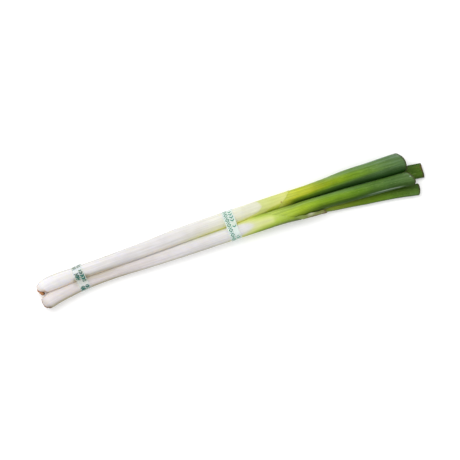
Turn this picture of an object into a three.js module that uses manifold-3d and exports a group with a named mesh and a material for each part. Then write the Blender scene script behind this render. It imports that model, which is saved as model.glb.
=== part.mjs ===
// Spring onion bunch
//
// Two long, trimmed spring onions lie side by side on a surface, held together by two bands of
// thin plastic tape. Each onion is a root plate, a white shaft of wrapped sheaths, and two hollow
// green blades with cut ends. The lower onion keeps a dry scrap of its outermost sheath.
//
// Millimetres. +X runs from the roots to the blades, +Y is across the bunch, +Z is up, and the
// surface that the bunch lies on is at z = 0.

import * as THREE from 'three';
import { mergeVertices } from 'three/addons/utils/BufferGeometryUtils.js';
import Module from 'manifold-3d';

const wasm = await Module();
wasm.setup();

// Driving dimensions

const sides = 24;
const ringSpacing = 14;
const fitGap = 0.3;
const weldDistance = 1e-4;

const tapeThickness = 0.6;
const tapeWidth = 16;
const tapeFacets = 40;
const tapeSampleStep = 1.5;
const tapeSamplesAround = 72;
const shaftLift = tapeThickness + fitGap;

const bladeWall = 1.0;
const bladeBaseTaper = 6;
const bladeBaseFraction = 0.72;
const hollowRingSpacing = 20;
const baseRounding = 2.5;

// The root plate's dome, as shares of its radius and of how far it stands proud
const plateSunk = 2.2;
const plateShape = { rimProud: 0.35, shoulderRadius: 0.72, shoulderProud: 0.85 };

// Stubs of the trimmed roots: every third one stands on an inner ring
const stubRadius = 0.75;
const stubSunk = 1.2;
const stubSides = 6;
const stubTipShare = 0.8;
const stubLean = 0.35;
const stubLengthSwing = 0.2;
const stubLengthBeat = 5;
const innerStubEvery = 3;
const innerStubs = { radius: 0.42, proud: 0.95 };
const outerStubs = { radius: 0.78, proud: 0.75 };

// A shaft's rows are x, y, half width and half height. It lies on the tapes all along, so the
// middle of a section is half a section above them.
function lyingShaft(rows) {
  return rows.map(([x, y, wide, high]) => [x, y, shaftLift + high, wide, high]);
}

// The upper onion curls down at its root, and swells again past the middle.
const upperOnion = {
  name: 'stalk_a',
  shaftRows: lyingShaft([
    [-294.4, 5.3, 8.9, 8.9],
    [-288.0, 8.9, 10.0, 10.0],
    [-279.0, 10.9, 10.8, 10.8],
    [-259.7, 12.2, 10.9, 10.9],
    [-230.1, 13.3, 9.8, 9.8],
    [-185.7, 14.4, 9.9, 9.9],
    [-126.5, 16.3, 10.7, 10.7],
    [-67.3, 18.9, 11.6, 11.6],
    [-8.1, 20.3, 11.2, 11.2],
    [51.1, 21.8, 10.2, 10.2],
    [110.0, 21.6, 10.4, 10.4],
  ]),
  shaftMouth: { x: 89.0, ramp: 80, perSide: 1.18, perUp: 0.2 },

  // x, y, z, half width and half height
  upperBladeRows: [
    [58.0, 21.8, 11.2, 8.9, 8.9],
    [83.6, 21.7, 11.2, 9.2, 9.2],
    [102.9, 21.5, 11.4, 9.8, 9.6],
    [125.0, 21.2, 12.8, 10.1, 9.3],
    [147.3, 21.4, 14.6, 10.8, 8.9],
    [184.3, 21.8, 17.0, 12.9, 8.2],
    [221.3, 20.7, 17.6, 13.8, 8.0],
    [258.3, 20.0, 17.3, 15.0, 8.2],
    [282.0, 19.4, 17.1, 15.0, 8.3],
  ],
  upperBladeCut: { x: 270.5, ramp: 30, perSide: -0.22, perUp: 0.94 },
  upperBladeHollowFrom: 200,

  lowerBladeRows: [
    [103.0, 20.8, 10.0, 5.0, 4.4],
    [125.0, 20.3, 8.3, 7.0, 4.6],
    [154.7, 18.4, 5.7, 8.5, 4.4],
    [184.3, 15.2, 4.3, 9.5, 4.0],
    [228.7, 8.2, 3.95, 10.3, 3.9],
    [265.7, 2.9, 3.8, 10.8, 3.8],
    [310.0, -2.8, 3.8, 10.8, 3.8],
  ],
  lowerBladeCut: { x: 299.9, ramp: 20, perSide: -0.09, perUp: 0.1 },
  lowerBladeHollowFrom: 190,

  rootPlate: { radius: 6.2, across: -2.5, proud: 2.6, stubs: 13, stubLength: 1.2 },
};

// The lower onion is thinner near its root, and is widest where its lower blade leaves it.
const lowerOnion = {
  name: 'stalk_b',
  shaftRows: lyingShaft([
    [-293.6, -14.0, 9.4, 9.4],
    [-287.9, -13.1, 10.8, 10.8],
    [-274.5, -10.5, 10.3, 10.3],
    [-259.7, -8.5, 9.5, 9.5],
    [-230.1, -5.4, 8.5, 8.5],
    [-185.7, -3.7, 7.9, 7.9],
    [-126.5, -3.7, 8.9, 8.9],
    [-67.3, -3.2, 10.0, 10.0],
    [-8.1, -2.1, 10.7, 10.7],
    [51.1, -0.8, 12.0, 12.0],
    [83.6, -0.7, 12.3, 12.2],
    [114.7, -2.2, 12.8, 11.6],
    [150.0, -5.0, 12.4, 8.5],
  ]),
  shaftMouth: { x: 84.0, ramp: 90, perSide: -2.2, perUp: -0.3 },

  upperBladeRows: [
    [52.0, -0.6, 12.9, 10.6, 10.6],
    [83.6, -0.5, 13.0, 10.9, 10.9],
    [103.0, -0.6, 12.9, 10.4, 10.5],
    [125.0, 0.1, 13.7, 10.5, 10.0],
    [154.7, -0.5, 15.4, 10.5, 9.0],
    [184.3, -1.9, 16.8, 10.5, 8.1],
    [213.9, -3.3, 17.1, 10.3, 7.9],
    [243.5, -4.9, 17.2, 10.4, 7.8],
    [273.1, -7.0, 17.1, 11.0, 8.0],
    [290.0, -8.3, 17.0, 11.2, 8.0],
  ],
  upperBladeCut: { x: 274.5, ramp: 30, perSide: -0.4, perUp: 1.05 },
  upperBladeHollowFrom: 195,

  lowerBladeRows: [
    [92.5, -4.5, 9.8, 5.2, 4.6],
    [114.7, -5.9, 8.2, 6.9, 6.0],
    [139.9, -8.2, 6.9, 7.0, 5.7],
    [162.1, -10.8, 6.0, 7.5, 5.4],
    [184.3, -13.4, 5.5, 7.5, 5.2],
    [206.5, -15.9, 5.3, 7.9, 5.1],
    [228.7, -17.9, 5.2, 8.5, 5.1],
    [258.3, -21.4, 5.2, 9.0, 5.2],
    [296.0, -29.0, 5.2, 8.6, 5.2],
  ],
  lowerBladeCut: { x: 285.2, ramp: 20, perSide: 0.0, perUp: 0.5 },
  lowerBladeHollowFrom: 190,

  rootPlate: { radius: 7.2, across: -0.6, proud: 0.7, stubs: 15, stubLength: 0.8 },
};

// Scrap of dry sheath: it goes on from the lower onion's mouth and ends in a point.
const scrap = {
  thickness: 0.7,
  tip: 146,
  middleTurn: [165, 168],
  halfTurn: [30, 2.5],
  taperPower: 0.8,
  stepsAlong: 10,
  stepsAcross: 5,
};

// A tape's turn is how far its loop is skewed from square across the bunch, in degrees.
const rootTape = { name: 'tape_root_end', x: -230.7, y: 4.4, turn: 7.3 };
const middleTape = { name: 'tape_middle', x: 4.8, y: 9.3, turn: 2.3 };

// Materials

const rootMatter = new THREE.MeshStandardMaterial({ color: 0xc08a50, roughness: 0.9, metalness: 0 });
const whiteSheath = new THREE.MeshStandardMaterial({ color: 0xebe8e6, roughness: 0.45, metalness: 0 });
const upperBladeGreen = new THREE.MeshStandardMaterial({ color: 0x6f9a3c, roughness: 0.5, metalness: 0 });
const lowerBladeGreen = new THREE.MeshStandardMaterial({ color: 0x557f2c, roughness: 0.5, metalness: 0 });
const drySheath = new THREE.MeshStandardMaterial({ color: 0xcdbd9a, roughness: 0.8, metalness: 0 });
const tapeFilm = new THREE.MeshStandardMaterial({ color: 0xdfeeea, roughness: 0.35, metalness: 0 });

// Solids

// A geometry whose vertices are merged and whose flat triangles at the poles are dropped.
function welded(geometry) {
  const bare = geometry.clone();
  bare.deleteAttribute('normal');
  bare.deleteAttribute('uv');
  const merged = mergeVertices(bare, weldDistance);
  const corners = merged.index.array;
  const kept = [];
  for (let i = 0; i < corners.length; i += 3) {
    const [a, b, c] = [corners[i], corners[i + 1], corners[i + 2]];
    if (a !== b && b !== c && c !== a) kept.push(a, b, c);
  }
  merged.setIndex(kept);
  return merged;
}

function toSolid(geometry) {
  const closed = welded(geometry);
  return new wasm.Manifold(new wasm.Mesh({
    numProp: 3,
    vertProperties: new Float32Array(closed.attributes.position.array),
    triVerts: new Uint32Array(closed.index.array),
  }));
}

function toGeometry(solid) {
  const mesh = solid.getMesh();
  const geometry = new THREE.BufferGeometry();
  geometry.setAttribute('position', new THREE.BufferAttribute(mesh.vertProperties, 3));
  geometry.setIndex(new THREE.BufferAttribute(mesh.triVerts, 1));
  geometry.computeVertexNormals();
  return geometry;
}

// Sections along a stalk

// A smooth body along X: at each x, the middle of its section, the directions sideways and up in
// the section, and its half width and half height.
function bodyAlong(rows) {
  const stations = rows.map((row) => row[0]);
  const values = rows.flatMap((row) => row.slice(1));
  const spline = new THREE.CubicInterpolant(stations, values, 4, new Float64Array(4));
  const slopeStep = 0.5;
  return (x) => {
    const [yAhead, zAhead] = spline.evaluate(x + slopeStep);
    const [yBehind, zBehind] = spline.evaluate(x - slopeStep);
    const [y, z, wide, high] = spline.evaluate(x);
    const along = new THREE.Vector3(2 * slopeStep, yAhead - yBehind, zAhead - zBehind).normalize();
    const side = new THREE.Vector3(0, 0, 1).cross(along).normalize();
    const up = along.clone().cross(side);
    return { middle: new THREE.Vector3(x, y, z), along, side, up, wide, high };
  };
}

// The point of a body's surface at station x and angle, inset from the surface, at a fraction
// of the section's radius.
function surfacePoint(body, x, angle, fraction = 1, inset = 0) {
  const at = body(x);
  return at.middle.clone()
    .addScaledVector(at.side, fraction * (at.wide - inset) * Math.cos(angle))
    .addScaledVector(at.up, fraction * (at.high - inset) * Math.sin(angle));
}

// How far a slanted cut moves a point along the body: nothing before the ramp, all of it at the cut.
function slantAt(body, cut, x, angle, fraction) {
  const ramp = THREE.MathUtils.smoothstep(x, cut.x - cut.ramp, cut.x);
  const at = body(cut.x);
  const sideways = cut.perSide * at.wide * Math.cos(angle);
  const upwards = cut.perUp * at.high * Math.sin(angle);
  return ramp * fraction * (sideways + upwards);
}

// A closed solid from a profile turned about the body's middle line. A profile point has its
// station x, its fraction of the section and its inset from the outer surface.
function turnedAlong(body, profile, cut) {
  const flat = profile.map((point) => new THREE.Vector2(point.fraction, point.x));
  const lathe = new THREE.LatheGeometry(flat, sides);
  const position = lathe.attributes.position;
  for (let i = 0; i < position.count; i += 1) {
    const point = profile[i % profile.length];
    const turn = Math.floor(i / profile.length) % sides;
    const angle = (2 * Math.PI * turn) / sides;
    const x = point.x + slantAt(body, cut, point.x, angle, point.fraction);
    const place = surfacePoint(body, x, angle, point.fraction, point.inset);
    position.setXYZ(i, place.x, place.y, place.z);
  }
  return lathe;
}

// Evenly spaced stations from one x to another, both included.
function stationsBetween(from, to, spacing) {
  const count = Math.max(1, Math.round(Math.abs(to - from) / spacing));
  return Array.from({ length: count + 1 }, (_, i) => from + ((to - from) * i) / count);
}

// The shaft's profile: a flat base with a rounded edge, the skin, and the slanted mouth's face.
function shaftProfile(from, to) {
  const roundSteps = 3;
  const profile = [{ x: from, fraction: 0, inset: 0 }];
  for (let i = 0; i <= roundSteps; i += 1) {
    const turn = (i / roundSteps) * (Math.PI / 2);
    profile.push({
      x: from + baseRounding * (1 - Math.cos(turn)),
      fraction: 1,
      inset: baseRounding * (1 - Math.sin(turn)),
    });
  }
  const stations = stationsBetween(from + baseRounding, to, ringSpacing).slice(1);
  profile.push(...stations.map((x) => ({ x, fraction: 1, inset: 0 })));
  profile.push({ x: to, fraction: 0, inset: 0 });
  return profile;
}

// A blade's profile: a blunt base, the outer skin to the cut, the rim, and the inner skin back to
// the blind end of the hollow. Grown makes it larger all round.
function bladeProfile(from, cutX, hollowFrom, grown = 0) {
  const profile = [
    { x: from - grown, fraction: 0, inset: 0 },
    { x: from - grown, fraction: bladeBaseFraction, inset: 0 },
    { x: from + bladeBaseTaper, fraction: 1, inset: -grown },
  ];
  const outer = stationsBetween(from + bladeBaseTaper, cutX, ringSpacing).slice(1);
  profile.push(...outer.map((x) => ({ x, fraction: 1, inset: -grown })));
  if (grown > 0) {
    profile.push({ x: cutX, fraction: 0, inset: 0 });
    return profile;
  }
  const inner = stationsBetween(cutX, hollowFrom, hollowRingSpacing);
  profile.push(...inner.map((x) => ({ x, fraction: 1, inset: bladeWall })));
  profile.push({ x: hollowFrom - bladeBaseTaper, fraction: 0, inset: 0 });
  return profile;
}

// One onion

// The disc that the roots grew from, with the stubs of the trimmed roots on its outer face. Its
// own +Y points out of the onion.
function rootPlateSolid(plate) {
  const dome = new THREE.LatheGeometry([
    new THREE.Vector2(0, -plateSunk),
    new THREE.Vector2(plate.radius, -plateSunk),
    new THREE.Vector2(plate.radius, plateShape.rimProud * plate.proud),
    new THREE.Vector2(plateShape.shoulderRadius * plate.radius, plateShape.shoulderProud * plate.proud),
    new THREE.Vector2(0, plate.proud),
  ], sides);
  let solid = toSolid(dome);
  for (let i = 0; i < plate.stubs; i += 1) {
    const ring = i % innerStubEvery === 0 ? innerStubs : outerStubs;
    const swing = 1 - stubLengthSwing * (1 - Math.cos(stubLengthBeat * i));
    const length = stubSunk + plate.stubLength * swing;
    const stub = new THREE.CylinderGeometry(stubTipShare * stubRadius, stubRadius, length, stubSides);
    stub.translate(0, length / 2 - stubSunk, 0);
    stub.rotateX(stubLean * ring.radius);
    stub.translate(0, ring.proud * plate.proud, ring.radius * plate.radius);
    stub.rotateY((2 * Math.PI * i) / plate.stubs);
    solid = solid.add(toSolid(stub));
  }
  return solid;
}

// Turns a root plate's own axes to the shaft's first section.
function rootPlacement(body, firstX, across) {
  const at = body(firstX);
  const placement = new THREE.Matrix4().makeBasis(at.side, at.along.clone().negate(), at.up);
  placement.setPosition(at.middle.clone().addScaledVector(at.side, across));
  return placement;
}

function makeOnion(onion) {
  const group = new THREE.Group();
  const shaftBody = bodyAlong(onion.shaftRows);
  const upperBody = bodyAlong(onion.upperBladeRows);
  const lowerBody = bodyAlong(onion.lowerBladeRows);
  const upperFrom = onion.upperBladeRows[0][0];
  const lowerFrom = onion.lowerBladeRows[0][0];
  const baseX = onion.shaftRows[0][0];

  const blade = (body, from, cut, hollowFrom, grown) => toSolid(
    turnedAlong(body, bladeProfile(from, cut.x, hollowFrom, grown), cut),
  );
  const upperCut = onion.upperBladeCut;
  const lowerCut = onion.lowerBladeCut;
  const upper = blade(upperBody, upperFrom, upperCut, onion.upperBladeHollowFrom, 0);
  const lower = blade(lowerBody, lowerFrom, lowerCut, onion.lowerBladeHollowFrom, 0);
  const upperRoom = blade(upperBody, upperFrom, upperCut, 0, fitGap);
  const lowerRoom = blade(lowerBody, lowerFrom, lowerCut, 0, fitGap);

  const plate = onion.rootPlate;
  const plateMesh = new THREE.Mesh(toGeometry(rootPlateSolid(plate)), rootMatter);
  plateMesh.name = `${onion.name}_root_plate`;
  const placement = rootPlacement(shaftBody, baseX, plate.across);
  plateMesh.applyMatrix4(placement);

  const recessDepth = plateSunk + fitGap;
  const recess = new THREE.CylinderGeometry(
    plate.radius + fitGap, plate.radius + fitGap, 2 * recessDepth, sides,
  );
  recess.applyMatrix4(placement);

  const profile = shaftProfile(baseX, onion.shaftMouth.x);
  const shaft = toSolid(turnedAlong(shaftBody, profile, onion.shaftMouth))
    .subtract(upperRoom)
    .subtract(lowerRoom)
    .subtract(toSolid(recess));

  const shaftMesh = new THREE.Mesh(toGeometry(shaft), whiteSheath);
  shaftMesh.name = `${onion.name}_shaft`;
  const upperMesh = new THREE.Mesh(toGeometry(upper.subtract(lowerRoom)), upperBladeGreen);
  upperMesh.name = `${onion.name}_upper_leaf`;
  const lowerMesh = new THREE.Mesh(toGeometry(lower), lowerBladeGreen);
  lowerMesh.name = `${onion.name}_lower_leaf`;

  group.add(plateMesh, shaftMesh, upperMesh, lowerMesh);
  return group;
}

// The scrap is a patch of the sheath's own wall, from the mouth's slanted rim to a point.
function makeScrap() {
  const body = bodyAlong(lowerOnion.shaftRows);
  const mouth = lowerOnion.shaftMouth;
  const patch = new THREE.BoxGeometry(1, 1, 1, scrap.stepsAlong, scrap.stepsAcross, 1);
  const position = patch.attributes.position;
  for (let i = 0; i < position.count; i += 1) {
    const along = position.getX(i) + 0.5;
    const across = -2 * position.getY(i);
    const depth = (0.5 - position.getZ(i)) * scrap.thickness;
    const middleTurn = THREE.MathUtils.lerp(...scrap.middleTurn, along);
    const halfTurn = THREE.MathUtils.lerp(...scrap.halfTurn, along ** scrap.taperPower);
    const angle = THREE.MathUtils.degToRad(middleTurn + across * halfTurn);
    const rim = mouth.x + slantAt(body, mouth, mouth.x, angle, 1) + 2 * fitGap;
    const place = surfacePoint(body, THREE.MathUtils.lerp(rim, scrap.tip, along), angle, 1, depth);
    position.setXYZ(i, place.x, place.y, place.z);
  }
  const mesh = new THREE.Mesh(toGeometry(toSolid(patch)), drySheath);
  mesh.name = 'stalk_b_dry_sheath';
  return mesh;
}

// Tapes

// The corners of a loop stretched round the given section points, offset outwards: each side is
// the line that just touches the points in one direction, and a corner is where two sides meet.
function stretchedLoop(points, offset) {
  const step = (2 * Math.PI) / tapeFacets;
  const reach = (angle) => offset + Math.max(
    ...points.map(([across, height]) => across * Math.cos(angle) + height * Math.sin(angle)),
  );
  return Array.from({ length: tapeFacets }, (_, i) => {
    const a = i * step;
    const b = a + step;
    const [reachA, reachB] = [reach(a), reach(b)];
    return new THREE.Vector2(
      (reachA * Math.sin(b) - reachB * Math.sin(a)) / Math.sin(step),
      (reachB * Math.cos(a) - reachA * Math.cos(b)) / Math.sin(step),
    );
  });
}

function makeTape(tape) {
  const turn = THREE.MathUtils.degToRad(tape.turn);
  const along = new THREE.Vector3(Math.cos(turn), Math.sin(turn), 0);
  const side = new THREE.Vector3(-Math.sin(turn), Math.cos(turn), 0);
  const up = new THREE.Vector3(0, 0, 1);
  const centre = new THREE.Vector3(tape.x, tape.y, 0);

  const points = [];
  const reach = 0.5 * tapeWidth + 1;
  for (const onion of [upperOnion, lowerOnion]) {
    const body = bodyAlong(onion.shaftRows);
    for (const x of stationsBetween(tape.x - 2 * reach, tape.x + 2 * reach, tapeSampleStep)) {
      for (let i = 0; i < tapeSamplesAround; i += 1) {
        const angle = (2 * Math.PI * i) / tapeSamplesAround;
        const place = surfacePoint(body, x, angle).sub(centre);
        if (Math.abs(place.dot(along)) <= reach) points.push([place.dot(side), place.z]);
      }
    }
  }

  const outline = new THREE.Shape(stretchedLoop(points, fitGap + tapeThickness));
  outline.holes.push(new THREE.Path(stretchedLoop(points, fitGap)));
  const band = new THREE.ExtrudeGeometry(outline, { depth: tapeWidth, bevelEnabled: false });
  const mesh = new THREE.Mesh(band, tapeFilm);
  mesh.name = tape.name;
  mesh.quaternion.setFromRotationMatrix(new THREE.Matrix4().makeBasis(side, up, along));
  mesh.position.copy(centre).addScaledVector(along, -0.5 * tapeWidth);
  return mesh;
}

// The bunch

const group = new THREE.Group();
group.add(makeOnion(upperOnion), makeOnion(lowerOnion));
group.add(makeScrap());
group.add(makeTape(rootTape), makeTape(middleTape));

export default group;
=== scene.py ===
import bpy
import numpy as np
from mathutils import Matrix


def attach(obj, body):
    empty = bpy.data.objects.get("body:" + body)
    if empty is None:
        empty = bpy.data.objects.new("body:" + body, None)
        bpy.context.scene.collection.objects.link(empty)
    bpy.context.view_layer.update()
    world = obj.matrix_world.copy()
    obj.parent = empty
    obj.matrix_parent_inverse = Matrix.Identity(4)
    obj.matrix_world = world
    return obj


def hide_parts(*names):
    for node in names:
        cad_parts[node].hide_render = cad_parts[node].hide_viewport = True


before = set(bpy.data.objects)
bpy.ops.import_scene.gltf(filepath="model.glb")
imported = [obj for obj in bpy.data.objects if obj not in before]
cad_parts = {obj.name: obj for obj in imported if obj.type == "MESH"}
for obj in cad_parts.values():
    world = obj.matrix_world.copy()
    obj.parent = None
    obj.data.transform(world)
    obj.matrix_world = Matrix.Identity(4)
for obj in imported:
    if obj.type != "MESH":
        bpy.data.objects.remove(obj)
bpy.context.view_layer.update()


# White shafts
# Each onion's shaft is a stack of wrapped leaf sheaths, white because it grew under earth. It is
# crisp, moist tissue with fine lengthwise veins. The outermost sheath ends in a slanted mouth.

MM = 0.001  # shapes are worked out in millimetres, and add_piece turns them to metres
TAPE_LIFT = 0.9  # the tapes carry the shafts this far above the surface
TAPE_PLACES = {"tape_root_end": (-230.7, 4.4), "tape_middle": (4.8, 9.3)}  # x and y
TAPE_GRIP = 13.0  # a tape presses the shafts smooth for this far on either side of it
VEIN_RADIUS = 10.0  # the fibre coordinate rolls every skin out on a straight tube of this radius
SHAFT_SIDES = 128
SHAFT_STEP = 1.3
SEAM_TURN = {"a": np.pi, "b": 0.0}  # the angle round each shaft that faces the other one
SEAM_PRESS = 1.2  # how far each shaft swells against the other, with no gap left between them
SEAM_LEAN = {"a": 0.7, "b": -0.7}  # how much more or less of that there is past the middle
FACE_SHARES = (0.05, 0.35, 0.65, 0.88)  # rings on the flat root end, as shares of its radius
BASE_ROUNDING = {"a": 2.2, "b": 2.3}
BASE_SLANT = {"a": 3.6, "b": 2.4}  # how much shorter each shaft is on the -Y side of its root end
GLOW_SPREAD = {"a": 0.8, "b": 0.5}  # how far the painted yellow-green glow in the seam reaches round each shaft
SHEATH_WALL = 0.45
SHEATH_TAPER = 0.3  # how much thicker the sheath gets from its mouth down
SHEATH_STEP = 0.22  # the height of the step where the upper onion's outermost sheath ends
MOUTH_DEPTH = 26.0
MOUTH_RINGS = 14
MOUTH_FRAY = 6.0  # how much of the mouth's edge is wavy
STAIN_REACH = {"a": 8.5, "b": 9.0}  # how far the dried brown of the base creeps up the shaft
STAIN_SIDE = {"a": (-0.2, 0.9), "b": (0.35, 1.0)}  # where the stain grows, as -cos of the angle
SOLID_UNTIL = {"a": (26, 50), "b": (10, 34)}  # past here the shaft is a thin sheath round a blade
FLANK_BULGE = {"a": 0.0, "b": 0.9}  # the lower onion's lower blade swells under its sheath
SHEATH_GLOSS = 0.4
SHEATH_DRIFT = 7.0  # how far the colours along the growth drift from vein to vein
SHEATH_DEPTH = (0.75, (9.0, 8.0, 5.0))  # share of light that goes in, and how far in mm
STREAK_STRETCH = (11.0, 330.0, 330.0)
VEIN_STRETCH = (22.0, 1100.0, 1100.0)
FLECK_STRETCH = (240.0, 1100.0, 1100.0)
CLOUD_SCALE = 60.0
SKIN_SHINE = 0.1
SKIN_RELIEF = (0.4, 0.12)  # strength, and depth in mm


def tone(red, green, blue):
    """A colour from 0 to 255 per channel, turned to the linear light that shaders read."""
    share = np.array([red, green, blue]) / 255.0
    linear = np.where(share <= 0.04045, share / 12.92, ((share + 0.055) / 1.055) ** 2.4)
    return (*linear.tolist(), 1.0)


def lying_shaft(rows):
    """Rows of x, y, half width, half height, with the middle's height put in after y."""
    return [(x, y, TAPE_LIFT + high, wide, high) for x, y, wide, high in rows]


def smooth_rows(rows, x):
    """Cubic pieces through the rows: a row's slope is the mean of the straight slopes beside it."""
    table = np.array(rows, float)
    knots = table[:, 0]
    values = table[:, 1:]
    straight = np.diff(values, axis=0) / np.diff(knots)[:, None]
    slope = np.vstack([straight[:1], 0.5 * (straight[1:] + straight[:-1]), straight[-1:]])
    i = np.clip(np.searchsorted(knots, x, side="right") - 1, 0, len(knots) - 2)
    width = (knots[i + 1] - knots[i])[..., None]
    t = np.clip((x - knots[i])[..., None] / width, 0.0, 1.0)
    rise = values[i + 1] - values[i]
    start = width * slope[i]
    end = width * slope[i + 1]
    bend = 3 * rise - 2 * start - end
    settle = start + end - 2 * rise
    return values[i] + t * start + t**2 * bend + t**3 * settle


def unit(vectors):
    """Each vector divided by its own length."""
    return vectors / np.linalg.norm(vectors, axis=-1, keepdims=True)


def ease(x, low, high):
    """0 below low, 1 above high, and a smooth step between them."""
    t = np.clip((x - low) / (high - low), 0.0, 1.0)
    return t * t * (3 - 2 * t)


def sections(rows, x):
    """Middle, side, up, half width and half height at stations x. Side is level and square to
    the middle line, and up is square to both."""
    here = smooth_rows(rows, x)
    slope = smooth_rows(rows, x + 0.5) - smooth_rows(rows, x - 0.5)
    along = unit(np.stack([np.ones_like(x), slope[..., 0], slope[..., 1]], axis=-1))
    side = unit(np.cross([0.0, 0.0, 1.0], along))
    middle = np.stack([x, here[..., 0], here[..., 1]], axis=-1)
    return middle, side, np.cross(along, side), here[..., 2], here[..., 3]


def skin(rows, x, angle, grow, fraction=1.0):
    """Points at middle + side * (half width + grow) * cos + up * (half height + grow) * sin,
    drawn in to a fraction of that for the faces at the ends."""
    middle, side, up, wide, high = sections(rows, x)
    across = fraction * (wide + grow) * np.cos(angle)
    upward = fraction * (high + grow) * np.sin(angle)
    return middle + side * across[..., None] + up * upward[..., None]


def slanted(rows, cut, x, angle, fraction=1.0):
    """Stations moved along by a slanted cut: nothing before its ramp, all of it at the cut."""
    _, _, _, wide, high = sections(rows, np.array([cut["x"]]))
    lean = cut["per_side"] * wide * np.cos(angle) + cut["per_up"] * high * np.sin(angle)
    return x + ease(x, cut["x"] - cut["ramp"], cut["x"]) * fraction * lean


def waves(seed, x, angle, count, around, lengths):
    """A sum of count soft waves round and along the skin, each with a whole number of turns in
    the range around, a length in the range lengths, and a random start."""
    draw = np.random.default_rng(seed)
    total = np.zeros(np.broadcast(x, angle).shape)
    for _ in range(count):
        turns = draw.integers(*around)
        length = draw.uniform(*lengths)
        start = draw.uniform(0, 2 * np.pi, 2)
        total = total + np.cos(turns * angle + start[0]) * np.cos(2 * np.pi * x / length + start[1])
    return total / np.sqrt(count)


def profile(*runs):
    """Joins runs of (stations, grow, fraction, inside) to three arrays of one column each."""
    parts = []
    for stations, *facts in runs:
        stations = np.atleast_1d(np.asarray(stations, float))
        columns = [np.broadcast_to(fact, stations.shape) for fact in facts]
        parts.append(np.column_stack([stations, *columns]))
    return [column[:, None] for column in np.vstack(parts).T]


def ring_faces(rings, sides):
    """Four-cornered faces between neighbouring rings, and a fan of triangles to a centre point at
    each end, all facing outwards when the rings run along +X."""
    index = np.arange(rings * sides).reshape(rings, sides)
    onward = np.roll(index, -1, axis=1)
    quads = np.stack([index[:-1], onward[:-1], onward[1:], index[1:]], axis=-1).reshape(-1, 4)
    first = np.full(sides, rings * sides)
    last = first + 1
    start = np.stack([first, onward[0], index[0]], axis=-1)
    end = np.stack([last, index[-1], onward[-1]], axis=-1)
    return quads.tolist() + start.tolist() + end.tolist()


def add_piece(name, points, faces, material, **attributes):
    """A smooth mesh object at the origin from points in millimetres. Each attribute is one number
    or one vector for each point, for the material to read."""
    mesh = bpy.data.meshes.new(name)
    mesh.from_pydata((points.reshape(-1, 3) * MM).tolist(), [], faces)
    mesh.polygons.foreach_set("use_smooth", np.ones(len(mesh.polygons), bool))
    for key, values in attributes.items():
        flat = np.asarray(values, np.float32)
        if flat.shape[-1] == 3:
            layer = mesh.attributes.new(key, "FLOAT_VECTOR", "POINT")
            layer.data.foreach_set("vector", flat.ravel())
        else:
            layer = mesh.attributes.new(key, "FLOAT", "POINT")
            layer.data.foreach_set("value", flat.ravel())
    mesh.materials.append(material)
    mesh.validate()
    piece = bpy.data.objects.new(name, mesh)
    bpy.context.scene.collection.objects.link(piece)
    return piece


def add_tube(name, rings, material, **attributes):
    """A closed tube through rings of points, with a centre point added at each end."""
    count, sides, _ = rings.shape
    ends = np.stack([rings[0].mean(axis=0), rings[-1].mean(axis=0)])
    points = np.vstack([rings.reshape(-1, 3), ends])
    stretched = {}
    for key, values in attributes.items():
        shape = (count, sides, 3) if values.shape[-1] == 3 and values.ndim == 3 else (count, sides)
        grid = np.broadcast_to(values, shape)
        flat = grid.reshape(count * sides, -1)
        tail = np.stack([grid[0].mean(axis=0), grid[-1].mean(axis=0)]).reshape(2, -1)
        joined = np.vstack([flat, tail])
        stretched[key] = joined if joined.shape[1] == 3 else joined[:, 0]
    return add_piece(name, points, ring_faces(count, sides), material, **stretched)


def fibre_coordinates(x, angle):
    """The skin rolled out on a straight tube, so that veins run along it: x, and the angle on a
    circle of the vein radius. In metres."""
    x, angle = np.broadcast_arrays(x, angle)
    circle = VEIN_RADIUS * MM
    return np.stack([x * MM, circle * np.cos(angle), circle * np.sin(angle)], axis=-1)


def new_material(name):
    """A material with one Principled shader: returns the material, its tree and the shader."""
    material = bpy.data.materials.new(name)
    material.use_nodes = True
    tree = material.node_tree
    return material, tree, tree.nodes["Principled BSDF"]


def feed(tree, socket, value):
    """Links an output to a socket, or sets the socket to a plain value."""
    if isinstance(value, bpy.types.NodeSocket):
        tree.links.new(value, socket)
    else:
        socket.default_value = value


def attribute(tree, name, output="Fac"):
    """The mesh attribute of that name."""
    reader = tree.nodes.new("ShaderNodeAttribute")
    reader.attribute_name = name
    return reader.outputs[output]


def calculate(tree, operation, first, second=0.0):
    """One arithmetic step on one or two numbers."""
    step = tree.nodes.new("ShaderNodeMath")
    step.operation = operation
    feed(tree, step.inputs[0], first)
    feed(tree, step.inputs[1], second)
    return step.outputs[0]


def stretch(tree, vector, scale):
    """A coordinate scaled differently along its three axes."""
    mapping = tree.nodes.new("ShaderNodeMapping")
    feed(tree, mapping.inputs["Vector"], vector)
    mapping.inputs["Scale"].default_value = scale
    return mapping.outputs[0]


def grain(tree, vector, scale, detail=3.0, roughness=0.55):
    """Soft noise between 0 and 1, about 0.5."""
    noise = tree.nodes.new("ShaderNodeTexNoise")
    feed(tree, noise.inputs["Vector"], vector)
    noise.inputs["Scale"].default_value = scale
    noise.inputs["Detail"].default_value = detail
    noise.inputs["Roughness"].default_value = roughness
    return noise.outputs["Fac"]


def between(tree, value, low, high, to_low=0.0, to_high=1.0):
    """The value carried from one range to another, and held at the ends."""
    carry = tree.nodes.new("ShaderNodeMapRange")
    carry.interpolation_type = "SMOOTHSTEP"
    for socket, number in zip(carry.inputs[:5], (value, low, high, to_low, to_high)):
        feed(tree, socket, number)
    return carry.outputs[0]


def blended(tree, share, first, second, mode="MIX"):
    """The first colour, with a share of the second mixed in."""
    mix = tree.nodes.new("ShaderNodeMix")
    mix.data_type = "RGBA"
    mix.blend_type = mode
    feed(tree, mix.inputs[0], share)
    feed(tree, mix.inputs[6], first)
    feed(tree, mix.inputs[7], second)
    return mix.outputs[2]


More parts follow.
